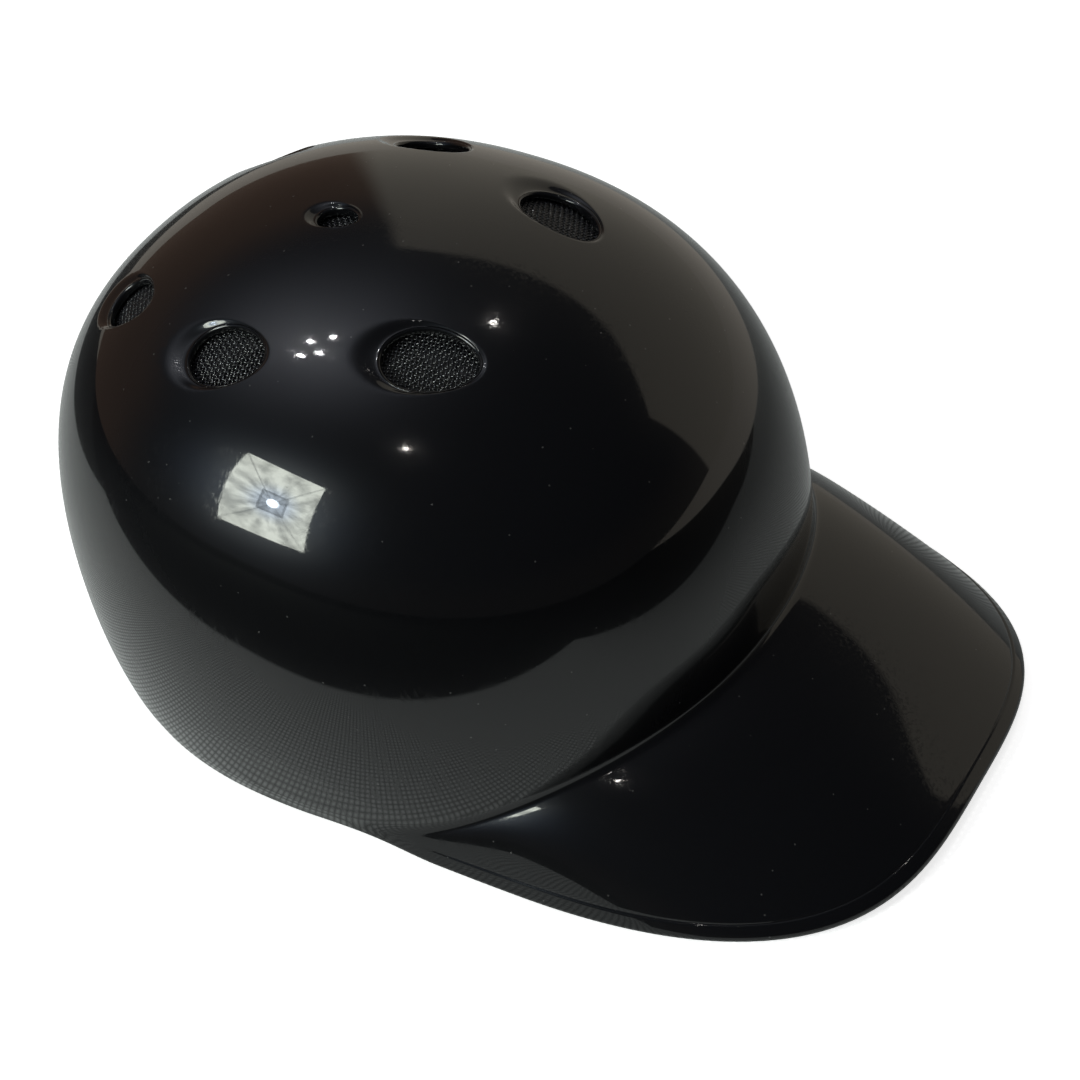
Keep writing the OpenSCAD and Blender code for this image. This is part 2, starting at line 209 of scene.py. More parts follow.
def visor_outline(a):
    """Radius of the visor's outline, and nothing beside and behind the ears."""
    flattest = 0.02
    x = (np.abs(sind(a)) / (VISOR_W / 2)) ** VISOR_SQUARE
    y = (np.maximum(cosd(a), flattest) / VISOR_REACH) ** VISOR_SQUARE
    return np.where(cosd(a) < flattest, 0, (x + y) ** (-1 / VISOR_SQUARE))


def edge_radius(a, back_z):
    rim_r = dome_radius(a, polar_at(rim_z(a, back_z)))
    out = visor_outline(a) - rim_r
    fade = 1 - smooth((np.abs(a) - VISOR_END + BLEND_LEAD) / VISOR_BLEND)
    return rim_r + fade * (out + np.sqrt(out * out + OUTLINE_BLEND**2)) / 2


def visor_share(a, back_z):
    crease_r = dome_radius(a, polar_at(crease_z(a, back_z)))
    return smooth((edge_radius(a, back_z) - crease_r) / THICKNESS_BUILD)


def start_polar(a, back_z):
    return polar_at(crease_z(a, back_z)) - CREASE_FILLET / DOME_RISE * 180 / math.pi


FILLET_ROWS = 8
FLAT_ROWS = 20
# Distances of the last rows from the edge, on a visor longer than NEAR_EDGE
EDGE_STEPS = np.array([6.0, 5.0, 4.2, 3.75, 3.5, 3.3, 3.15, 3.0, 2.85, 2.65, 2.3, 1.7, 0.9, 0.0])
NEAR_EDGE = 14


def lower_rows(a, back_z):
    """Rows of the fillet and the visor: points, distances from the edge and visor shares."""
    crease = dome_point(a, polar_at(crease_z(a, back_z)))
    share = visor_share(a, back_z)
    edge_up = edge_z(a, back_z) + (1 - share) * SHELL_T / 2
    edge = radial(a, edge_radius(a, back_z) - share * VISOR_T / 2, edge_up)
    length = np.linalg.norm(edge - crease, axis=-1)
    out = np.minimum(CREASE_FILLET, length / 2) / length
    start = dome_point(a, start_polar(a, back_z))
    bulge = VISOR_BULGE * smooth(length / BULGE_BUILD)

    def visor_point(t):
        p = crease + (edge - crease) * t[:, None]
        p[:, 2] += 4 * t * (1 - t) * bulge
        return p

    foot = visor_point(out)
    rows, dist = [start], [length]
    for i in range(1, FILLET_ROWS + 1):
        t = i / FILLET_ROWS
        rows.append(mix(mix(start, crease, t), mix(crease, foot, t), t))
        dist.append(length * (1 - out * t))
    near = np.minimum(1, length / NEAR_EDGE)
    t_flat = 1 - EDGE_STEPS[0] * near / length
    for i in range(1, FLAT_ROWS):
        t = mix(out, t_flat, i / FLAT_ROWS)
        rows.append(visor_point(t))
        dist.append(length * (1 - t))
    for e in EDGE_STEPS:
        rows.append(visor_point(1 - e * near / length))
        dist.append(e * near)
    return np.stack(rows, 1), np.stack(dist, 1), share


def slope_around(a, back_z):
    """The direction of the same rows round the helmet."""
    return lower_rows(a + SLOPE_STEP, back_z)[0] - lower_rows(a - SLOPE_STEP, back_z)[0]


def back_rim():
    """The height of the back rim: the lowest point of the visor's rounded edge."""
    a = np.arange(FRONT_STEPS) * 90 / FRONT_STEPS
    a = a[a + SLOPE_STEP < VISOR_END]
    rows, _, share = lower_rows(a, 0.0)
    sheet = rows[:, -1] - rows[:, -2]
    n = unit(np.cross(sheet, slope_around(a, 0.0)[:, -1]))
    r = mix(SHELL_T, VISOR_T, share) / 2
    out = across_normal(sheet, n)
    edge_z, n_z, out_z = rows[:, -1, 2], n[:, 2], out[:, 2]
    return float(np.min([edge_z - n_z * r + r * (n_z * cosd(k) + out_z * sind(k)) for k in (45, 90, 135)]))


BACK_Z = back_rim()

# Vents: azimuth, polar angle, heading, half length and half width
PAIRS = {
    "front": (44.1, 22.8, 18, 13.6, 9.5),
    "mid": (111, 26.7, 12, 12.5, 9.1),
    "rear": (150.7, 34.3, -5, 10.5, 8.2),
}
CROWN = (180, 6.3, 0, 6.5, 4.7)
LARGEST = PAIRS["front"][3]
TAPER = 0.1
DISH_BACK = 7.0
DISH_SIDE = 1.5
DISH_LIP = 0.5
# Offset from a hole's outline at which its rounded lip starts
LIP_START = 0.7
# Lip and wall of a hole: offset from the outline, depth below the skin, 1 for the inner skin
LIP_PROFILE = [
    (0.5, 0.05, 0), (0.3, 0.17, 0), (0.13, 0.36, 0), (0.03, 0.6, 0), (0, 0.85, 0),
    (0, -0.6, 1), (0.12, -0.25, 1), (0.35, -0.06, 1),
]
# Beyond this distance from a vent, a point's offset counts as far off
VENT_REACH = 40
FAR_OFF = 99.0


class Vent:
    """The egg-shaped outline of a vent in the plane that touches the dome, and the dish round it."""

    def __init__(self, azimuth, polar, heading, half_l, half_w, side):
        azimuth, turn = math.radians(azimuth), math.radians(side * heading)
        self.half_l = half_l
        self.half_w = half_w
        self.scale = half_l / LARGEST
        self.uv = polar * np.array([side * math.sin(azimuth), math.cos(azimuth)])
        self.middle = dome_uv(*self.uv)
        n = skin_normal(*self.uv)
        ahead = np.array([-math.sin(turn), -math.cos(turn), 0])
        self.y = unit(ahead - n * (ahead @ n))
        self.x = np.cross(self.y, n)

    def local(self, p):
        d = p - self.middle
        return d @ self.x, d @ self.y

    def to_uv(self, x, y):
        """[u, v] of the skin point over (x, y) of the vent's plane, by Newton's method."""
        uv = [np.full_like(x, c) for c in self.uv]
        h = 0.1
        for _ in range(5):
            lx, ly = self.local(dome_uv(*uv))
            ax, ay = self.local(dome_uv(uv[0] + h, uv[1]))
            bx, by = self.local(dome_uv(uv[0], uv[1] + h))
            ax, bx, ay, by = (ax - lx) / h, (bx - lx) / h, (ay - ly) / h, (by - ly) / h
            det = ax * by - bx * ay
            ex, ey = x - lx, y - ly
            uv = uv + np.stack([(by * ex - bx * ey) / det, (ax * ey - ay * ex) / det])
        return uv

    def offset(self, x, y, back=0.0):
        """How far the outline grows to reach a point; back makes it longer behind."""
        low = np.full(np.shape(x), 0.5 - self.half_w)
        high = np.full(np.shape(x), 80.0)
        for _ in range(26):
            mid = (low + high) / 2
            c = (y + back / 2) / (self.half_l + mid + back / 2)
            beside = np.sqrt(1 - np.clip(c, -1, 1) ** 2) * (self.half_w + mid) * (1 - TAPER * c)
            inside = (np.abs(c) < 1) & (np.abs(x) < beside)
            high = np.where(inside, mid, high)
            low = np.where(inside, low, mid)
        return (low + high) / 2

    def outline(self, grow, count):
        """Evenly spaced points of the hole's outline, grown by grow."""
        a = np.linspace(0, 2 * math.pi, 361)
        x = (self.half_w + grow) * np.sin(a) * (1 - TAPER * np.cos(a))
        y = (self.half_l + grow) * np.cos(a)
        s = np.concatenate([[0], np.cumsum(np.hypot(np.diff(x), np.diff(y)))])
        at = np.linspace(0, s[-1], count, endpoint=False)
        return np.interp(at, s, x), np.interp(at, s, y)

    def loop(self, grow, count):
        """The same outline as [u, v] of the skin."""
        return self.to_uv(*self.outline(grow, count))

    def near(self, p):
        return np.linalg.norm(p - self.middle, axis=-1) < VENT_REACH

    def clearance(self, p):
        """Offset of skin points from the hole's outline."""
        return np.where(self.near(p), self.offset(*self.local(p)), FAR_OFF)

    def dish(self, p):
        """Depth of the moulded dish, long behind the hole and almost flush in front, with a fine lip."""
        x, y = self.local(p)
        s = self.offset(x, y)
        inner = s - LIP_START
        outer = self.offset(x, y, DISH_BACK * self.scale) - DISH_LIP - DISH_SIDE * self.scale
        t = np.clip(inner / np.maximum(inner - outer, 1e-6), 0, 1)
        w = np.where(outer < 0, 1 - smooth(t), 0)
        rear = smooth((0.35 * self.half_l - y) / (1.2 * self.half_l))
        lip = 0.10 * np.exp(-(((s - 0.75) / 0.4) ** 2))
        return np.where(self.near(p), w * mix(0.55, 1.5, rear) * (0.4 + 0.6 * self.scale) - lip, 0)


SIDES = {"_right": -1, "_left": 1}
vents = {name + side: Vent(*vent, SIDES[side]) for name, vent in PAIRS.items() for side in SIDES}
vents["crown"] = Vent(*CROWN, 1)


def from_vents(uv):
    """Offset of [u, v] points from the outline of the nearest hole."""
    p = dome_uv(*uv.T)
    return np.min([v.clearance(p) for v in vents.values()], 0)


# Meshes

COLUMNS = 360
BEAD = 0.22


def rim_strip():
    """Columns from the dome's end over the visor, round its edge and back up inside."""
    a = -180 + 360 * np.arange(COLUMNS) / COLUMNS
    rows, dist, share = lower_rows(a, BACK_Z)
    start = start_polar(a, BACK_Z)
    above = dome_point(a, start - 0.5)
    beyond = 2 * rows[:, -1] - rows[:, -2]
    extended = np.concatenate([above[:, None], rows, beyond[:, None]], 1)
    normals = unit(np.cross(extended[:, 2:] - extended[:, :-2], slope_around(a, BACK_Z)))
    last = rows.shape[1] - 1
    wall = mix(SHELL_T, VISOR_T, share[:, None] * smooth(np.arange(last + 1) / FILLET_ROWS)[None, :])
    # a fine bead along the visor's edge, with a groove behind it
    bead = BEAD * (1 - smooth((dist - 2.75) / 0.5)) * share[:, None]
    groove = 0.16 * np.exp(-(((dist - 3.15) / 0.28) ** 2)) * share[:, None]
    top = rows + normals * (bead - groove)[..., None]
    r = wall[:, -1] / 2
    n = normals[:, -1]
    out = across_normal(rows[:, -1] - rows[:, -2], n)
    middle = rows[:, -1] - n * r[:, None]
    arc = []
    for k in np.linspace(0, 180, 13)[1:-1]:
        grow = (r + BEAD * share * (1 + cosd(k)) / 2)[:, None]
        arc.append(middle + (n * cosd(k)) * grow + out * sind(k) * r[:, None])
    under = rows - normals * wall[..., None]
    # every second row is enough on the visor's flat underside
    keep = [i for i in range(last, -1, -1) if i <= FILLET_ROWS or i == last or (i - FILLET_ROWS) % 2 == 0]
    return a, start, np.concatenate([top, np.stack(arc, 1), under[:, keep]], 1)


strip_azimuth, strip_polar, strip = rim_strip()
# From the source's place to the frame's, by the CAD shell's visor tip and crown
cad_low, cad_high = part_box("shell")
SHIFT = np.array([0, strip[..., 1].min() - cad_low.y / MM, WIDEST_Z + DOME_RISE - cad_high.z / MM])


def add_object(name, data):
    obj = bpy.data.objects.new(name, data)
    scene.collection.objects.link(obj)
    return obj


def mesh_object(name, verts, faces, material, shift=SHIFT):
    """A mesh from points in mm and faces that all have as many corners."""
    verts = (np.asarray(verts, float) - shift) * MM
    mesh = bpy.data.meshes.new(name)
    mesh.vertices.add(len(verts))
    mesh.vertices.foreach_set("co", verts.ravel())
    mesh.loops.add(faces.size)
    mesh.polygons.add(len(faces))
    mesh.loops.foreach_set("vertex_index", faces.ravel().astype(np.int32))
    mesh.polygons.foreach_set("loop_start", np.arange(0, faces.size, faces.shape[1], dtype=np.int32))
    mesh.update(calc_edges=True)
    mesh.validate()
    shade_smooth(mesh)
    mesh.materials.append(material)
    return add_object(name, mesh)


def shade_smooth(mesh):
    mesh.polygons.foreach_set("use_smooth", [True] * len(mesh.polygons))


def outward(obj):
    """Turns all faces of a piece outward."""
    bm = bmesh.new()
    bm.from_mesh(obj.data)
    bmesh.ops.recalc_face_normals(bm, faces=bm.faces)
    bm.to_mesh(obj.data)
    bm.free()


def stand_in(obj, node, body="helmet"):
    """Puts a piece in the place of a CAD node."""
    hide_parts(node)
    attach(obj, body)


def triangulate(points, edges):
    """[u, v] points, where each given point went, and the triangles, facing out."""
    out = geometry.delaunay_2d_cdt([Vector(q) for q in points], edges, [], 0, 1e-6, True)
    flat = np.array([tuple(q) for q in out[0]])
    where = np.zeros(len(points), int)
    for i, group in enumerate(out[3]):
        where[list(group)] = i
    tris = np.array(out[2])
    a, b, c = flat[tris[:, 0]], flat[tris[:, 1]], flat[tris[:, 2]]
    turn = (b[:, 0] - a[:, 0]) * (c[:, 1] - a[:, 1]) - (b[:, 1] - a[:, 1]) * (c[:, 0] - a[:, 0])
    return flat, where, np.where((turn > 0)[:, None], tris[:, ::-1], tris)


def even_grid(h, reach, edge, margin):
    """Points of even triangles with side h, inside an edge by a margin in degrees."""
    u, v = np.meshgrid(np.arange(-reach, reach, h), np.arange(-reach, reach, h * math.sqrt(3) / 2))
    u[1::2] += h / 2
    grid = np.stack([u.ravel(), v.ravel()], -1)
    azimuth, polar = polar_of(grid)
    return grid[polar < edge(azimuth) - margin]


def plan(rings, loops, grid, edge, hole):
    """Points and triangles inside an edge, outside the holes, and the indices of the first ring and loops."""
    count = len(rings[0])
    points = list(rings)
    spans = [(0, count)]
    base = count * len(rings)
    for v, (offsets, n) in zip(vents.values(), loops):
        points += [v.loop(offset, n).T for offset in offsets]
        spans.append((base, n))
        base += n * len(offsets)
    edges = [(start + i, start + (i + 1) % n) for start, n in spans for i in range(n)]
    flat, where, tris = triangulate(np.concatenate(points + [grid]), edges)
    middle = flat[tris].mean(1)
    azimuth, polar = polar_of(middle)
    solid = (polar < edge(azimuth)) & (from_vents(middle) > hole)
    ring, *mouths = [where[start : start + n] for start, n in spans]
    return flat, tris[solid], ring, mouths


# Shell

SHELL_GRID = 1.22
SHELL_LOOPS = np.array([0.7, 0.92, 1.15, 1.4, 1.75, 2.2, 2.8, 3.6, 4.6, 5.8, 7.2, 8.8])


def dome_edge(a):
    return start_polar(a, BACK_Z)


def shell_plan():
    """The dome down to the strip: an even grid with finer loops round the vents."""
    grid = even_grid(SHELL_GRID, 95, dome_edge, 0.7 * SHELL_GRID)
    p = dome_uv(*grid.T)
    loops = []
    keep = np.ones(len(grid), bool)
    for v in vents.values():
        offsets = LIP_START + (SHELL_LOOPS - LIP_START) * max(v.scale, 0.6)
        keep &= v.clearance(p) >= offsets[-1] + 0.8
        loops.append((offsets, int(round(120 * (0.35 + 0.65 * v.scale)))))
    ring = strip_polar[:, None] * np.stack([sind(strip_azimuth), cosd(strip_azimuth)], -1)
    return plan([ring], loops, grid[keep], dome_edge, LIP_START - 0.01)


def shell_mesh():
    """Points and triangles of the shell, and for each triangle 0 if it is polished and 1 if not."""
    flat, tris, ring, mouths = shell_plan()
    total = len(flat)
    normals = skin_normal(*flat.T)
    p = dome_uv(*flat.T)
    depth = sum(v.dish(p) for v in vents.values())
    verts = [p - normals * depth[:, None], p - normals * SHELL_T, strip[:, 1:-1].reshape(-1, 3)]
    base = 2 * total
    last = strip.shape[1] - 1

    def at(row, column):
        """Index of a strip point. Its first and last rows are those of the dome's skins."""
        column = column % COLUMNS
        own = base + column * (last - 1) + row - 1
        return np.where(row == 0, ring[column], np.where(row == last, total + ring[column], own))

    column, row = [g.ravel() for g in np.meshgrid(np.arange(COLUMNS), np.arange(last), indexing="ij")]
    corners = [at(row + 1, column), at(row + 1, column + 1), at(row, column + 1), at(row, column)]
    quads = [np.stack(corners, -1)]
    base += COLUMNS * (last - 1)
    for v, mouth in zip(vents.values(), mouths):
        n = len(mouth)
        rings = [mouth]
        for grow, drop, inner in LIP_PROFILE:
            start = np.full(n, SHELL_T) if inner else depth[mouth]
            verts.append(skin(*v.loop(grow, n), start + drop))
            rings.append(base + np.arange(n))
            base += n
        rings.append(total + mouth)
        for r0, r1 in zip(rings, rings[1:]):
            quads.append(np.stack([r0, np.roll(r0, -1), np.roll(r1, -1), r1], -1))
    quads = np.concatenate(quads)
    faces = np.concatenate([tris, tris[:, ::-1] + total, quads[:, [0, 1, 2]], quads[:, [0, 2, 3]]])
    # the inner side of the dome down to the crease is left unpolished
    plain = np.zeros(len(quads), int)
    plain[: len(row)] = row >= last - FILLET_ROWS
    finish = np.concatenate([np.zeros(len(tris), int), np.ones(len(tris), int), plain, plain])
    return np.concatenate(verts), faces, finish


# Nodes


class Wire:
    """An output of a node. Sums and products of wires make Math nodes."""

    def __init__(self, socket):
        self.socket = socket
        self.tree = socket.id_data

    def other(self, name):
        """Another output of the same node."""
        return Wire(self.socket.node.outputs[name])

    def clamped(self):
        self.socket.node.use_clamp = True
        return self

    def maths(self, operation, *others):
        return put(self.tree, "Math", dict(enumerate((self, *others))), operation=operation)

    def __rsub__(self, number):
        return put(self.tree, "Math", {0: number, 1: self}, operation="SUBTRACT")

    __add__ = partialmethod(maths, "ADD")
    __sub__ = partialmethod(maths, "SUBTRACT")
    __mul__ = partialmethod(maths, "MULTIPLY")
    __truediv__ = partialmethod(maths, "DIVIDE")
    __pow__ = partialmethod(maths, "POWER")
    __abs__ = partialmethod(maths, "ABSOLUTE")
    __lt__ = partialmethod(maths, "LESS_THAN")
    __gt__ = partialmethod(maths, "GREATER_THAN")
    at_least = partialmethod(maths, "MAXIMUM")


def wire_up(node, inputs):
    """Sets a node's inputs, or links them to wires."""
    for key, value in inputs.items():
        if isinstance(value, Wire):
            node.id_data.links.new(value.socket, node.inputs[key])
        else:
            node.inputs[key].default_value = value


def put(tree, kind, inputs, output=0, **props):
    """A new shader node, set up, as the wire of one of its outputs."""
    node = tree.nodes.new("ShaderNode" + kind)
    for key, value in props.items():
        setattr(node, key, value)
    wire_up(node, inputs)
    return Wire(node.outputs[output])


def vector(at, operation, other, output=0):
    return put(at.tree, "VectorMath", {0: at, 1: other}, output, operation=operation)


def split(at):
    """The X, Y and Z of a vector."""
    x = put(at.tree, "SeparateXYZ", {0: at}, "X")
    return x, x.other("Y"), x.other("Z")


def stretched(at, rotation, scale):
    return put(at.tree, "Mapping", {"Vector": at, "Rotation": rotation, "Scale": scale})


def noise(at, scale, detail, output="Fac", **more):
    inputs = {"Vector": at, "Scale": scale, "Detail": detail, **more}
    return put(at.tree, "TexNoise", inputs, output)


def cells(at, scale):
    return put(at.tree, "TexVoronoi", {"Vector": at, "Scale": scale}, "Distance", feature="F1")


def waves(at, scale, distortion, direction="X", **more):
    inputs = {"Vector": at, "Scale": scale, "Distortion": distortion, **more}
    return put(at.tree, "TexWave", inputs, "Fac", bands_direction=direction)


def spread(value, start, end, low=0.0, high=1.0, kind="LINEAR"):
    """Maps low to high onto start to end."""
    inputs = {"Value": value, 1: low, 2: high, 3: start, 4: end}
    return put(value.tree, "MapRange", inputs, interpolation_type=kind)


def step(value, low, high, start=0.0, end=1.0):
    """A smooth step from start, below low, to end, above high."""
    return spread(value, start, end, low, high, "SMOOTHSTEP")


def ramp(value, stops):
    wire = put(value.tree, "ValToRGB", {"Fac": value}, "Color")
    band = wire.socket.node.color_ramp
    while len(band.elements) < len(stops):
        band.elements.new(0.5)
    for element, (at, colour) in zip(band.elements, stops):
        element.position = at
        element.color = (*colour, 1)
    return wire


def tint(factor, a, b):
    """A mix of two colours, each a wire or a tuple of red, green and blue."""
    a, b = [colour if isinstance(colour, Wire) else (*colour, 1) for colour in (a, b)]
    return put(factor.tree, "Mix", {"Factor": factor, "A": a, "B": b}, "Result", data_type="RGBA")


def bump(height, strength, distance):
    inputs = {"Height": height, "Strength": strength, "Distance": distance}
    return put(height.tree, "Bump", inputs)


# Materials


def material(recipe):
    """A material by a recipe, which gives the shader's inputs from object coordinates."""
    mat = bpy.data.materials.new(recipe.__name__)
    mat.use_nodes = True
    tree = mat.node_tree
    wire_up(tree.nodes["Principled BSDF"], recipe(put(tree, "TexCoord", {}, "Object")))
    return mat


def gloss_plastic(at):
    """Polished black plastic with fine cleaning scratches, a little dust and greasy haze."""
    sway = vector(noise(at, 40.0, 0.0, "Color"), "MULTIPLY", (0.012, 0.012, 0.012))
    moved = vector(at, "ADD", sway)
    lines = None
    turns = [(0.3, 0.2, 0.4), (1.1, 0.5, 1.9), (0.7, 1.9, 0.8), (2.1, 1.0, 2.6)]
    for turn, fine in zip(turns, (1000, 1200, 900, 1100)):
        line = noise(stretched(moved, turn, (fine, fine, 16.0)), 1.0, 0.0)
        line = ((line - 0.62).clamped() * 6.0).clamped()
        lines = line.maths("MAXIMUM", lines) if lines else line
    patch = ((noise(at, 24.0, 3.0) - 0.38).clamped() * 3.6).clamped()
    scratches = lines * patch
    smear = noise(at, 60.0, 2.0, Distortion=1.2).maths("MULTIPLY_ADD", 0.03, 0.012)
    specks = cells(at, 340.0)
    picked = put(at.tree, "SeparateColor", {"Color": specks.other("Color")}, "Red")
    dust = (specks < 0.09) * (picked > 0.90)
    height = noise(at, 110.0, 1.0) * 0.03 - scratches * 0.07 + dust * 0.6
    return {
        "Base Color": tint(dust, (0.0042, 0.0044, 0.0052), (0.06, 0.06, 0.058)),
        "Roughness": (smear + scratches * 0.16).clamped(),
        "Normal": bump(height, 0.35, 0.00006),
        "IOR": 1.5,
        "Coat Weight": 0.30,
        "Coat Roughness": 0.28,
        "Coat IOR": 1.45,
    }


def satin_plastic(at):
    """The unpolished inside of the shell, with faint flow marks."""
    flow = noise(stretched(at, (0, 0, 0), (1, 0.25, 1)), 40.0, 4.0)
    return {
        "Base Color": ramp(flow, [(0.3, (0.010, 0.010, 0.012)), (0.75, (0.018, 0.018, 0.020))]),
        "Roughness": spread(flow, 0.38, 0.52),
        "Normal": bump(noise(at, 900.0, 3.0), 0.3, 0.0001),
    }


def nylon_mesh(at):
    """Glossy black nylon yarn: twisted, with a soft sheen."""
    tone = noise(at, 700.0, 2.0)
    return {
        "Base Color": ramp(tone, [(0.3, (0.004, 0.004, 0.005)), (0.75, (0.016, 0.016, 0.018))]),
        "Roughness": spread(tone, 0.14, 0.34),
        "Normal": bump(waves(at, 900.0, 3.0), 0.5, 0.00005),
        "Specular IOR Level": 1.0,
    }


def impact_foam(at):
    """Charcoal foam: fine pores and a matt skin."""
    pores = cells(at, 850.0)
    mottle = noise(at, 130.0, 5.0)
    tones = [(0.25, (0.050, 0.052, 0.058)), (0.5, (0.074, 0.077, 0.084)), (0.8, (0.105, 0.108, 0.116))]
    return {
        "Base Color": ramp(mottle, tones),
        "Roughness": spread(pores, 0.95, 0.7),
        "Normal": bump(pores + mottle * 0.8, 0.6, 0.0003),
    }


def pad_fabric(at):
    """Brushed knit: ribs, loops, fuzz and a soft sheen."""
    knots = cells(stretched(at, (0, 0, 0), (1, 1, 0.75)), 950.0)
    rib = waves(at, 190.0, 0.6, "Z", **{"Detail Scale": 3.0})
    tone = noise(at, 60.0, 6.0, Roughness=0.7) * 0.7 + knots * 0.35
    tones = [(0.2, (0.014, 0.014, 0.016)), (0.5, (0.028, 0.028, 0.031)), (0.85, (0.058, 0.058, 0.063))]
    return {
        "Base Color": ramp(tone, tones),
        "Normal": bump(knots * -0.8 + rib * 0.45, 0.7, 0.00035),
        "Roughness": 0.88,
        "Sheen Weight": 0.35,
        "Sheen Roughness": 0.45,
        "Sheen Tint": (0.6, 0.6, 0.65, 1),
    }


def loop_fabric(at):
    """Grey loop fabric: a napped field of fine loops."""
    curls = noise(at, 1500.0, 3.0, Distortion=2.5)
    tone = curls * 0.6 + noise(at, 90.0, 5.0) * 0.4
    tones = [(0.3, (0.060, 0.062, 0.068)), (0.55, (0.13, 0.133, 0.142)), (0.8, (0.21, 0.214, 0.225))]
    return {
        "Base Color": ramp(tone, tones),
        "Normal": bump(curls, 0.9, 0.0004),
        "Roughness": 0.95,
        "Sheen Weight": 0.5,
        "Sheen Roughness": 0.6,
    }


def hook_tape(at):
    """Moulded hook tape: rows of tiny hooks."""
    hooks = cells(at, 1250.0)
    tones = [(0.0, (0.035, 0.035, 0.038)), (0.45, (0.006, 0.006, 0.007)), (0.9, (0.003, 0.003, 0.004))]
    return {
        "Base Color": ramp(hooks, tones),
        "Roughness": spread(hooks, 0.3, 0.6),
        "Normal": bump(hooks < 0.38, 0.9, 0.0004),
    }


def stitch_thread(at):
    """Matt sewing thread, a little greyer than the cloth."""
    ply = waves(at, 1200.0, 2.0)
    return {
        "Base Color": ramp(ply, [(0.2, (0.060, 0.060, 0.064)), (0.8, (0.14, 0.14, 0.148))]),
        "Normal": bump(ply, 0.6, 0.00008),
        "Roughness": 0.6,
    }


GLOSS = material(gloss_plastic)
SATIN = material(satin_plastic)
YARN = material(nylon_mesh)
FOAM = material(impact_foam)
KNIT = material(pad_fabric)
LOOP = material(loop_fabric)
HOOK = material(hook_tape)
THREAD = material(stitch_thread)

shell_points, shell_faces, finish = shell_mesh()
shell = mesh_object("moulded_shell", shell_points, shell_faces, GLOSS)
shell.data.materials.append(SATIN)
shell.data.polygons.foreach_set("material_index", finish.astype(np.int32))
stand_in(shell, "shell")


def tube_points(middle, side, up, width, height, sides):
    """An oval ring of points round each point of a line, in its side and up directions."""
    turn = np.linspace(0, 2 * math.pi, sides, endpoint=False)[None, :, None]
    return middle[:, None] + side[:, None] * np.cos(turn) * width + up[:, None] * np.sin(turn) * height


# Vent screens of woven nylon

PITCH = 1.15
YARN_R = 0.25
YARN_LIFT = 0.28
YARN_SIDES = 6


def woven(v):
    """The yarns of one screen: tubes over and under each other across the bonded oval."""
    half = [v.half_w + SCREEN_LAP, v.half_l + SCREEN_LAP]
    verts, faces = [], []
    base = 0
    for across, flow in ((0, v.x), (1, v.y)):
        samples = int(half[across] / (PITCH / 2)) + 1
        yarns = int(half[1 - across] / PITCH)
        numbers = np.arange(-yarns, yarns + 1)
        along, beside = np.meshgrid(np.arange(-samples, samples + 1) * (PITCH / 2), numbers * PITCH)
        phase = np.pi * (along / PITCH + numbers[:, None] + (0 if across else 1))
        # each crossing is pushed aside by a repeatable random share
        seed = np.sin(along * 12.9898 + beside * 78.233) * 43758.5453
        beside = beside + (0.10 * np.sin(phase * 0.5) + 0.16 * (seed - np.floor(seed) - 0.5))
        x, y = (beside, along) if across else (along, beside)
        inside = (x / half[0]) ** 2 + (y / half[1]) ** 2 < 0.97
        uv = v.to_uv(x.ravel(), y.ravel())
        up = skin_normal(*uv)
        middle = dome_uv(*uv) - up * (SCREEN_D + SCREEN_T / 2 - (YARN_LIFT * np.cos(phase)).ravel()[:, None])
        side = unit(np.cross(up, flow))
        verts.append(tube_points(middle, side, up, YARN_R * 1.15, YARN_R * 0.8, YARN_SIDES).reshape(-1, 3))
        rows, samples = along.shape
        index = np.arange(rows * samples).reshape(rows, samples) * YARN_SIDES + base
        on = inside[:, :-1] & inside[:, 1:]
        here, ahead = index[:, :-1], index[:, 1:]
        for k in range(YARN_SIDES):
            k2 = (k + 1) % YARN_SIDES
            faces.append(np.stack([here[on] + k, here[on] + k2, ahead[on] + k2, ahead[on] + k], -1))
        # caps on both ends of each yarn
        off = np.zeros((rows, 1), bool)
        first = here[on & ~np.concatenate([off, on[:, :-1]], 1)]
        last = ahead[on & ~np.concatenate([on[:, 1:], off], 1)]
        for cap in ([0, 1, 2, 3], [0, 3, 4, 5]):
            faces += [last[:, None] + np.array(cap), first[:, None] + np.array(cap[::-1])]
        base += rows * samples * YARN_SIDES
    verts, faces = np.concatenate(verts), np.concatenate(faces)
    used = np.unique(faces)
    where = np.zeros(len(verts), int)
    where[used] = np.arange(len(used))
    return verts[used], where[faces]


for name, v in vents.items():
    stand_in(mesh_object(name + "_woven_screen", *woven(v), YARN), name + "_vent_screen")

# Foam liners


def to_block(s, t):
    """Rounds the corners of the square from -1 to 1."""
    return s * (1 - 0.115 * np.abs(t) ** 7), t * (1 - 0.115 * np.abs(s) ** 7)


def liner_low(a):
    return crease_z((a + 180) % 360 - 180, BACK_Z) + LINER_LIFT


def crown_edge_at(a):
    return CROWN_EDGE - CROWN_SHIFT / 2 * cosd(a)


def liner_top(a):
    return crown_edge_at(a) + CHANNEL


def pad_low(a):
    return liner_low(a) + PAD_LIFT


def pad_top(a):
    return polar_at(pad_low(a) + PAD_H)


def band(azimuth, span, top, low):
    """Places the square (s, t) on a band round the head, as [u, v]."""

    def place(s, t):
        s, t = to_block(s, t)
        a = azimuth + span * s
        polar = mix(top(a), polar_at(low(a)), (t + 1) / 2)
        return polar * sind(a), polar * cosd(a)

    return place


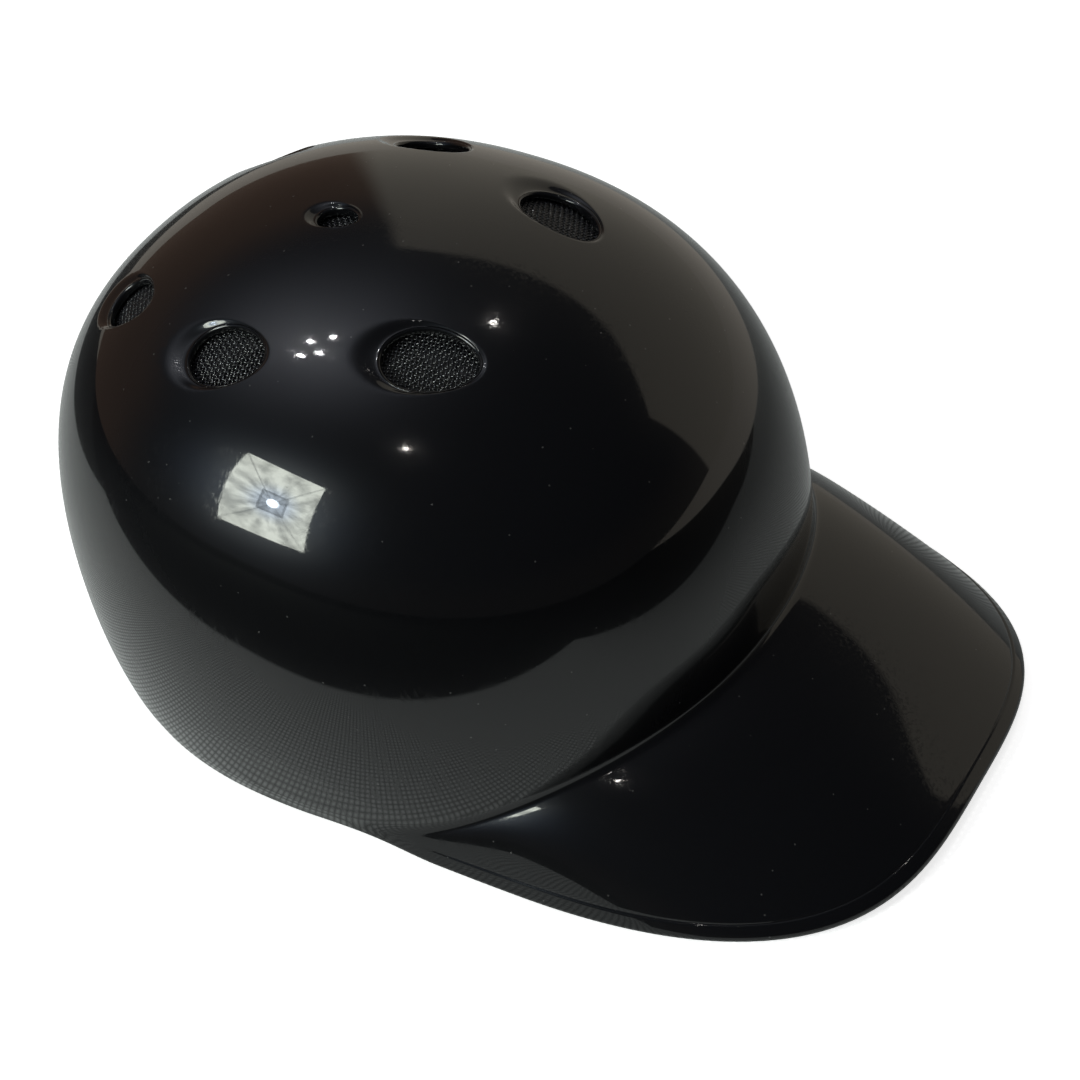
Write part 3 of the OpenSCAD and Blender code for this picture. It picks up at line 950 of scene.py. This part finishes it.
def axis(half, near, spacing):
    """Positions from -1 to 1 over a half width in mm, closer near the ends."""
    near = np.asarray(near)
    inner = half - near[-1]
    count = max(2, int(round(2 * inner / spacing)))
    middle = np.linspace(-inner, inner, count + 1)[1:-1]
    return np.concatenate([near - half, middle, (half - near)[::-1]]) / half


def half_size(span, height):
    """Half the width and height in mm of a piece that spans an angle to each side."""
    return [span * math.pi / 180 * DOME_W / 2, height / 2]


def edge_distance(s, t, half, radius):
    """Distance from the block's edge, up to radius, with round corners."""
    p = np.maximum(0, 1 - half[0] * (1 - np.abs(s)) / radius)
    q = np.maximum(0, 1 - half[1] * (1 - np.abs(t)) / radius)
    return radius * (1 - np.minimum(1, (p**4 + q**4) ** 0.25))


def round_over(e, bevel):
    """How far a rounded edge has dropped at a distance from it."""
    r = np.clip(bevel - e, 0, bevel)
    return bevel - np.sqrt(bevel**2 - r**2)


def closed(name, front, back, material, wrap=False):
    """A closed piece between two grids. With wrap, the columns close into a ring."""
    rows, cols = front.shape[:2]
    total = rows * cols
    index = np.arange(total).reshape(rows, cols)
    if wrap:
        index = np.concatenate([index, index[:, :1]], 1)
    a, b, c, d = index[:-1, :-1], index[:-1, 1:], index[1:, 1:], index[1:, :-1]
    quads = np.stack([a, b, c, d], -1).reshape(-1, 4)
    faces = [quads, quads[:, ::-1] + total]
    sides = [index[0], index[-1][::-1]]
    if not wrap:
        sides += [index[:, -1], index[::-1, 0]]
    for line in sides:
        faces.append(np.stack([line[1:], line[:-1], line[:-1] + total, line[1:] + total], -1))
    verts = np.concatenate([front.reshape(-1, 3), back.reshape(-1, 3)])
    obj = mesh_object(name, verts, np.concatenate(faces), material)
    outward(obj)
    return obj


LINER_H = 68.0
LINER_NEAR = [0, 0.15, 0.5, 1.0, 1.7, 2.4, 3.2]
# Height of the waves in the cut foam, and as much room below the CAD face
FOAM_WAVE = 0.12


def foam_block(side, azimuth, span):
    half = half_size(span, LINER_H)
    s, t = np.meshgrid(axis(half[0], LINER_NEAR, 3.0), axis(half[1], LINER_NEAR, 3.0))
    u, v = band(azimuth, span, liner_top, liner_low)(s, t)
    drop = round_over(edge_distance(s, t, half, LINER_BEVEL), LINER_BEVEL)
    wave = FOAM_WAVE * np.sin(u * 0.31 + azimuth) * np.sin(v * 0.27 + 1.0)
    front = skin(u, v, LINER_IN_D - drop - wave - FOAM_WAVE)
    obj = closed(side + "_foam", front, skin(u, v, np.full_like(u, LINER_D)), FOAM)
    stand_in(obj, side + "_liner")


foam_block("front", 0, 44)
foam_block("right", -SIDE_AZIMUTH, 37)
foam_block("left", SIDE_AZIMUTH, 37)
foam_block("rear", 180, 44)

# Length in mm of a degree down the dome near the crown liner's rim
RIM_MM = 1.9
RIM_LOOPS = [0, 0.2, 0.6, 1.2, 2.0, 3.0, 4.5]
CROWN_LOOPS = [FOAM_ROOM, 0.95, 1.2, 1.6, 2.3, 3.3, 4.4, 4.75, 4.9, 5.8]
SEAT_EDGE = 4.7
SEAT_DEPTH = 1.8


def crown_foam():
    """A cap with an opening under each vent and a shallow seat round each screen."""
    count = 240
    a = -180 + 360 * np.arange(count) / count
    rings = [(crown_edge_at(a) - e / RIM_MM)[:, None] * np.stack([sind(a), cosd(a)], -1) for e in RIM_LOOPS]
    grid = even_grid(1.5, 60, crown_edge_at, 3.4)
    grid = grid[from_vents(grid) > 7.0]
    loops = [(CROWN_LOOPS, 72)] * len(vents)
    flat, tris, rim, mouths = plan(rings, loops, grid, crown_edge_at, FOAM_ROOM - 0.01)
    u, v = flat.T
    azimuth, polar = polar_of(flat)
    from_vent = from_vents(flat)
    from_rim = (crown_edge_at(azimuth) - polar) * RIM_MM
    under = LINER_D + SEAT_DEPTH * (1 - smooth((from_vent - SEAT_EDGE) / 0.2))
    wave = FOAM_WAVE * np.sin(u * 0.33) * np.sin(v * 0.29 + 0.5)
    drop = np.maximum(round_over(from_rim, LINER_BEVEL), round_over(from_vent - FOAM_ROOM, LINER_BEVEL / 2))
    verts = np.concatenate([skin(u, v, under), skin(u, v, LINER_IN_D - FOAM_WAVE - wave - drop)])
    total = len(flat)
    faces = [tris, tris[:, ::-1] + total]
    for ring in [rim, *mouths]:
        after = np.roll(ring, -1)
        faces.append(np.stack([ring, after, after + total], -1))
        faces.append(np.stack([ring, after + total, ring + total], -1))
    obj = mesh_object("crown_foam", verts, np.concatenate(faces), FOAM)
    outward(obj)
    stand_in(obj, "crown_liner")


crown_foam()

for name in ("crown_hooks", "front_hooks", "right_hooks", "left_hooks", "rear_hooks"):
    materials = bpy.data.objects[name].data.materials
    materials.clear()
    materials.append(HOOK)

# Fit pads: sewn knit over soft foam, each on its loop fabric

# The flat sewn border, and the distance from the edge to the full height
BORDER = 2.2
BORDER_T = 1.3
PULL = 9.0
SWELL_T = PAD_T * 0.70
CROWNING = 0.7
PAD_NEAR = [0, 1.1, 2.2, 2.9, 4.2, 6.0, 8.2]
BACKING_NEAR = [0, 0.2, 0.5, 1.2]
BACKING_BEVEL = 0.4
SEAM_INSET = 1.15
STITCH = 2.2
# Where the rings of a stitch are along it, how deep they sink and how thick they are
STITCH_AT = np.array([0.14, 0.22, 0.5, 0.78, 0.86])
STITCH_SINK = np.array([0.30, 0.05, -0.10, 0.05, 0.30])
STITCH_R = np.array([0.10, 0.17, 0.20, 0.17, 0.10])
STITCH_SIDES = 4
pads = []


def pulled(s, t):
    """The sides pull in a little between the corners."""
    return s * (1 - 0.012 * (1 - t * t)), t * (1 - 0.05 * (1 - s * s))


def fit_pad(name, uv, e, crown, wrap=False):
    """A pad over [u, v] places, e from its edge, and what of it is sewn or bonded down."""
    x = np.clip((e - BORDER) / (PULL - BORDER), 0, 1)
    rise = np.sqrt(1 - (1 - x) ** 2)
    height = BORDER_T + (SWELL_T - BORDER_T) * rise + CROWNING * crown * rise
    back = skin(*uv, np.full_like(e, PAD_D + 0.1))
    obj = closed(name + "_fit_pad", skin(*uv, PAD_D + height), back, KNIT, wrap)
    stand_in(obj, name + "_pad", name + "_cushion")
    held = np.concatenate([np.flatnonzero(e.ravel() < BORDER + 0.1), np.arange(e.size, 2 * e.size)])
    pads.append((obj, held))


def stitches(name, paths):
    """Short stitches on the sewn border along closed [u, v] paths."""
    rings = []
    for u, v in paths:
        u, v = np.append(u, u[0]), np.append(v, v[0])
        p = skin(u, v, np.full_like(u, PAD_D + BORDER_T))
        length = np.concatenate([[0], np.cumsum(np.linalg.norm(np.diff(p, axis=0), axis=1))])
        count = int(length[-1] / STITCH)
        for k in range(count):
            at = (k + STITCH_AT) * (length[-1] / count)
            uv = np.interp(at, length, u), np.interp(at, length, v)
            up = skin_normal(*uv)
            middle = skin(*uv, PAD_D + BORDER_T - STITCH_SINK + 0.08)
            side = unit(np.cross(up, unit(np.gradient(middle, axis=0))))
            r = STITCH_R[:, None, None]
            rings.append(tube_points(middle, side, up, r, r, STITCH_SIDES))
    corners = np.arange(STITCH_SIDES)
    after = (corners + 1) % STITCH_SIDES
    last = (len(STITCH_AT) - 1) * STITCH_SIDES
    one = [np.stack([corners, after, after + STITCH_SIDES, corners + STITCH_SIDES], -1) + i
           for i in range(0, last, STITCH_SIDES)]
    one = np.concatenate([*one, [corners, corners + last]])
    faces = np.concatenate([one + i * (last + STITCH_SIDES) for i in range(len(rings))])
    obj = mesh_object(name + "_fit_pad_stitches", np.concatenate(rings).reshape(-1, 3), faces, THREAD)
    outward(obj)
    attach(obj, name + "_cushion")


def backing(name, uv, e, wrap=False):
    """The loop fabric of a pad, with both edges rounded over."""
    drop = round_over(e, BACKING_BEVEL) * 0.5
    front = skin(*uv, BACKING_D + BACKING_T - drop)
    obj = closed(name + "_loop_fabric", front, skin(*uv, BACKING_D + drop), LOOP, wrap)
    stand_in(obj, name + "_pad_backing", name + "_cushion")


def side_pad(name, azimuth, span):
    half = half_size(span, PAD_H)
    place = band(azimuth, span, pad_top, pad_low)
    s, t = np.meshgrid(axis(half[0], PAD_NEAR, 3.0), axis(half[1], PAD_NEAR, 3.0))
    fit_pad(name, place(*pulled(s, t)), edge_distance(s, t, half, PULL), (1 - s * s) * (1 - t * t))
    corner = np.array([(-1, -1), (1, -1), (1, 1), (-1, 1), (-1, -1)])
    seam = np.concatenate([np.linspace(a, b, 80, endpoint=False) for a, b in zip(corner, corner[1:])])
    stitches(name, [place(*pulled(*[line * (1 - SEAM_INSET / h) for line, h in zip(seam.T, half)]))])
    s, t = np.meshgrid(axis(half[0], BACKING_NEAR, 2.5), axis(half[1], BACKING_NEAR, 2.5))
    backing(name, place(s, t), edge_distance(s, t, half, BACKING_BEVEL))


# Length in mm of a degree at the crown, and the radius by which a layer below is shorter
CROWN_MM = 1.876
CROWN_R = 105


def ring_place(rho, theta, depth):
    """Places a ring round the crown vent: rho 0 at the opening and 1 at the pad's edge."""
    inner = CROWN_PAD_HOLE / CROWN_MM / (1 - depth / CROWN_R)
    r = mix(inner, CROWN_PAD_ANGLE, rho)
    return r * sind(theta), r * cosd(theta) - CROWN[1]


def crown_pad():
    width = CROWN_PAD_ANGLE * CROWN_MM * (1 - PAD_D / CROWN_R) - CROWN_PAD_HOLE
    half = width / 2
    theta = np.linspace(0, 360, 72, endpoint=False)
    rho, turn = np.meshgrid((axis(half, PAD_NEAR, 3.0) + 1) / 2, theta, indexing="ij")
    e = half * (1 - np.abs(2 * rho - 1))
    fit_pad("crown", ring_place(rho, turn, PAD_D), e, 1 - (2 * rho - 1) ** 2, wrap=True)
    turn = np.linspace(0, 360, 200, endpoint=False)
    seams = (SEAM_INSET / width, 1 - SEAM_INSET / width)
    stitches("crown", [ring_place(np.full_like(turn, rho), turn, PAD_D) for rho in seams])
    rho, turn = np.meshgrid((axis(half, BACKING_NEAR, 2.5) + 1) / 2, theta, indexing="ij")
    backing("crown", ring_place(rho, turn, BACKING_D), half * (1 - np.abs(2 * rho - 1)), wrap=True)


crown_pad()
side_pad("brow", 0, 37)
side_pad("right_temple", -SIDE_AZIMUTH, 29)
side_pad("left_temple", SIDE_AZIMUTH, 29)
side_pad("nape", 180, 36)


def points_of(mesh):
    co = np.empty(len(mesh.vertices) * 3)
    mesh.vertices.foreach_get("co", co)
    return co.reshape(-1, 3)


CLOTH = {
    "quality": 6, "mass": 0.1, "tension_stiffness": 4, "compression_stiffness": 4, "shear_stiffness": 2,
    "bending_stiffness": 0.02, "use_pressure": True, "uniform_pressure_force": 300,
    "vertex_group_mass": "sewn",
}


def swell(pads, most=0.0014, frames=20):
    """Blows the pads up with Blender's cloth. No point moves further than most."""
    for obj, held in pads:
        obj.vertex_groups.new(name="sewn").add(held.tolist(), 1.0, "REPLACE")
        cloth = obj.modifiers.new("swell", "CLOTH")
        for key, value in CLOTH.items():
            setattr(cloth.settings, key, value)
        cloth.settings.effector_weights.gravity = 0
        cloth.point_cache.frame_start = 1
        cloth.point_cache.frame_end = frames
    for number in range(1, frames + 1):
        scene.frame_set(number)
    graph = bpy.context.evaluated_depsgraph_get()
    for obj, held in pads:
        rest = points_of(obj.data)
        moved = points_of(obj.evaluated_get(graph).data) - rest
        far = np.linalg.norm(moved, axis=1, keepdims=True)
        moved = moved * most / (most * 0.6 + far)
        moved *= np.minimum(1, most / np.maximum(np.linalg.norm(moved, axis=1, keepdims=True), 1e-9))
        obj.modifiers.clear()
        obj.vertex_groups.clear()
        obj.data.vertices.foreach_set("co", (rest + moved).ravel())
        obj.data.update()
    scene.frame_set(1)


swell(pads)
for obj, held in pads:
    finer = obj.modifiers.new("smooth", "SUBSURF")
    finer.levels = finer.render_levels = 1
    mesh = bpy.data.meshes.new_from_object(obj.evaluated_get(bpy.context.evaluated_depsgraph_get()))
    obj.modifiers.clear()
    obj.data = mesh
    shade_smooth(mesh)

# Floor, light and camera


def studio_floor(at):
    """Pale matt paper, which the polished shell mirrors as a painted reflection: a glowing woven mat with
    painted shade and an end, and a lit wall's warm glow to the right.
    """
    x, y, _ = split(at)
    # painted reflection: beyond the mat the mirrored floor is dark, and far to the right it glows in the lit
    # wall's warm tone
    warm = step(x, 0.41, 0.44)
    mat_share_and_painted_shade = step(x, -0.226, -0.216) * step(y, -0.345, -0.325) * step(y, 0.455, 0.475, 1.0, 0.08)
    # painted shade: the mat darkens towards +x and -y
    mat_share_and_painted_shade = mat_share_and_painted_shade * (1.0 - warm) * step(x - y, 0.0, 0.5, 1.0, 0.4)
    bumps = (x * 1150.0).maths("SINE") * (y * 1400.0).maths("SINE")
    mat_weave_and_painted_shade = mat_share_and_painted_shade * (abs(bumps) + 0.5)
    camera = put(at.tree, "LightPath", {}, "Is Camera Ray")
    mirrored = camera.other("Is Glossy Ray").at_least(camera.other("Is Transmission Ray"))
    fleck = noise(at, 500.0, 2.0)
    tone = (mat_weave_and_painted_shade * (0.80 - mirrored * 0.36)).at_least(0.03)
    tone = tone.at_least(camera * 0.80) * spread(fleck, 0.985, 1.0)
    # painted reflection: to mirrored rays the mat and the wall's patch glow
    glow = mirrored * (mat_weave_and_painted_shade * 0.25 + warm * 0.42) + camera * 0.78
    # painted light: the floor glows to diffuse rays and throws light up into the hollow
    glow = glow + camera.other("Is Diffuse Ray") * 0.55
    shade = tint(mirrored, (1, 1, 1), (0.92, 1.0, 0.96))
    return {
        "Base Color": tone,
        "Roughness": 1.0,
        "Specular IOR Level": 0.0,
        "Emission Color": tint(warm * mirrored, shade, (1.0, 0.92, 0.80)),
        "Emission Strength": glow,
    }


def clear_from_below(mat):
    """Lets a view from below through."""
    tree = mat.node_tree
    seen = Wire(tree.nodes["Principled BSDF"].outputs[0])
    below = put(tree, "NewGeometry", {}, "Backfacing")
    clear = put(tree, "BsdfTransparent", {})
    both = put(tree, "MixShader", {0: below, 1: seen, 2: clear})
    wire_up(tree.nodes["Material Output"], {"Surface": both})
    return mat


FLOOR = 6000
paper = clear_from_below(material(studio_floor))
corners = [(x * FLOOR, y * FLOOR, 0) for x, y in ((-1, -1), (1, -1), (1, 1), (-1, 1))]
mesh_object("floor", corners, np.array([[0, 1, 2, 3]]), paper, shift=0)


def area_lamp(name, place, aim, power, width, height=None, up=(0, 0, 1), colour=(1, 1, 1)):
    """A round lamp, or an oblong one with a height."""
    data = bpy.data.lights.new(name, "AREA")
    data.energy = power
    data.color = colour
    data.shape = "RECTANGLE" if height else "DISK"
    data.size = width
    if height:
        data.size_y = height
    obj = add_object(name, data)
    z = (Vector(place) - Vector(aim)).normalized()
    x = Vector(up).cross(z).normalized()
    obj.matrix_world = placed(x, z.cross(x), z, place)
    return obj


def placed(x, y, z, place):
    """The matrix of an object with these axes at a place."""
    return Matrix([[x[i], y[i], z[i], place[i]] for i in range(3)] + [[0, 0, 0, 1]])


def pleat(lamp):
    """The softbox's cloth: pleats from a bright bulb, and a thin dark frame round it."""
    lamp.use_nodes = True
    tree = lamp.node_tree
    parametric = put(tree, "NewGeometry", {}, "Parametric")
    x, y, _ = split(vector(parametric, "SUBTRACT", (0.5, 0.5, 0.0)))
    y = y * 1.3
    r = (x * x + y * y).maths("SQRT")
    out = put(tree, "CombineXYZ", {0: x / r, 1: y / r, 2: r * 1.5})
    folds = spread(noise(out, 3.2, 2.5, Roughness=0.55), 0.42, 0.92, 0.36, 0.62)
    across, upward = abs(x), abs(y)
    square = across.at_least(upward * 0.9)
    # seams run from the corners of the frame to those of the box
    seam = abs(across - upward / 1.3) < 0.012
    inside = square < 0.135
    rim = (square > 0.135) * (square < 0.165)
    shade = folds * (1.0 - rim * 0.65) * (1.0 - seam * 0.4) * (1.0 - inside * 0.35)
    wire_up(tree.nodes["Emission"], {
        "Strength": shade + step(r, 0.05, 0.085, 3.0, 0.0),
        "Color": tint(step(r, 0.12, 0.40), (0.76, 0.88, 1.0), (0.95, 1.0, 0.89)),
    })


# the softbox, mirrored as the bright oblong on the dome
place, aim, upright = (-1.368, 0.666, 0.822), (-0.08, 0.025, 0.1225), (0.367, -0.074, 0.740)
pleat(area_lamp("softbox", place, aim, 24, 0.58, 0.83, up=upright).data)
# small ceiling lamps
CEILING = [(0.073, 1.033, 1.874), (0.168, 0.931, 1.918), (-0.099, 1.033, 1.876), (-0.030, 0.948, 1.921)]
for i, place in enumerate(CEILING):
    area_lamp(f"ceiling_{i}", place, (-0.04, 0.03, 0.147), 0.55, 0.03)
for i, place in enumerate([(0.874, 0.018, 1.937), (-0.867, -0.099, 1.961)]):
    area_lamp(f"spot_{i}", place, (0, 0, 0.13), 0.40, 0.05, colour=(1.0, 0.96, 0.9))
# a broad fill from above for the floor and the hollow of the helmet
overhead = area_lamp("overhead", (0.25, -0.1, 2.6), (0, 0, 0), 10, 1.0, 1.0, up=(0, 1, 0))
overhead.visible_glossy = False


def studio_world():
    """A dim room with a lit warm wall and two soft glows round the lamps."""
    world = bpy.data.worlds.new("studio")
    scene.world = world
    world.use_nodes = True
    tree = world.node_tree
    coords = put(tree, "TexCoord", {}, "Generated")
    ray = put(tree, "VectorMath", {0: coords}, operation="NORMALIZE")

    def towards(direction):
        return vector(ray, "DOT_PRODUCT", direction, "Value")

    _, _, up = split(ray)
    az = math.radians(97)
    depth = towards((math.sin(az), -math.cos(az), 0)).at_least(0.02)
    height = up / depth
    along = towards((math.cos(az), math.sin(az), 0)) / depth
    wall = step(height, 1.08, 1.14, 1.0, 0.0) * step(along, -1.9, -1.8)
    wall = wall * step(along, 0.60, 0.68, 1.0, 0.0) * step(depth, 0.02, 0.06)
    joinery = step(towards((0.45, 0.86, 0.0)), 0.45, 0.75) * step(up, 0.35, 0.62, 1.0, 0.0)
    glow = towards((0.03, 0.47, 0.882)).at_least(0.0) ** 18.0
    halo = towards((-0.797, 0.417, 0.437)).at_least(0.0) ** 26.0
    room = tint(step(up, 0.05, 0.30, 1.0, 0.0), (0.030, 0.031, 0.037), (0.045, 0.042, 0.042))
    room = tint(joinery, room, (0.135, 0.085, 0.060))
    room = tint(wall, room, (0.40, 0.37, 0.315))
    room = tint(glow * 0.55, room, (1.0, 1.06, 1.22))
    room = tint(halo * 0.40, room, (0.33, 0.64, 1.30))
    wire_up(tree.nodes["Background"], {"Color": room, "Strength": 1.0})


studio_world()

# The photograph's focal length, in pixels of a frame FRAME_PX wide
FOCAL_PX = 2328.548
FRAME_PX = 1080
SENSOR = 36


def camera_matrix():
    azimuth, elevation, roll, distance = -52.35, 43.9, -9.366, 0.70682
    target = np.array([-0.00098, -0.00504, 0.04679])
    back = np.array([sind(azimuth) * cosd(elevation), -cosd(azimuth) * cosd(elevation), sind(elevation)])
    right = np.array([cosd(azimuth), sind(azimuth), 0])
    up = np.cross(back, right)
    x = right * cosd(roll) + up * sind(roll)
    y = -right * sind(roll) + up * cosd(roll)
    return placed(x, y, back, target + back * distance)


lens = bpy.data.cameras.new("camera")
lens.sensor_width = SENSOR
lens.lens = FOCAL_PX * SENSOR / FRAME_PX
lens.clip_start = 0.01
lens.clip_end = 50
camera = add_object("camera", lens)
camera.matrix_world = camera_matrix()
bpy.context.scene.camera = camera
bpy.context.scene.view_settings.view_transform = "Standard"
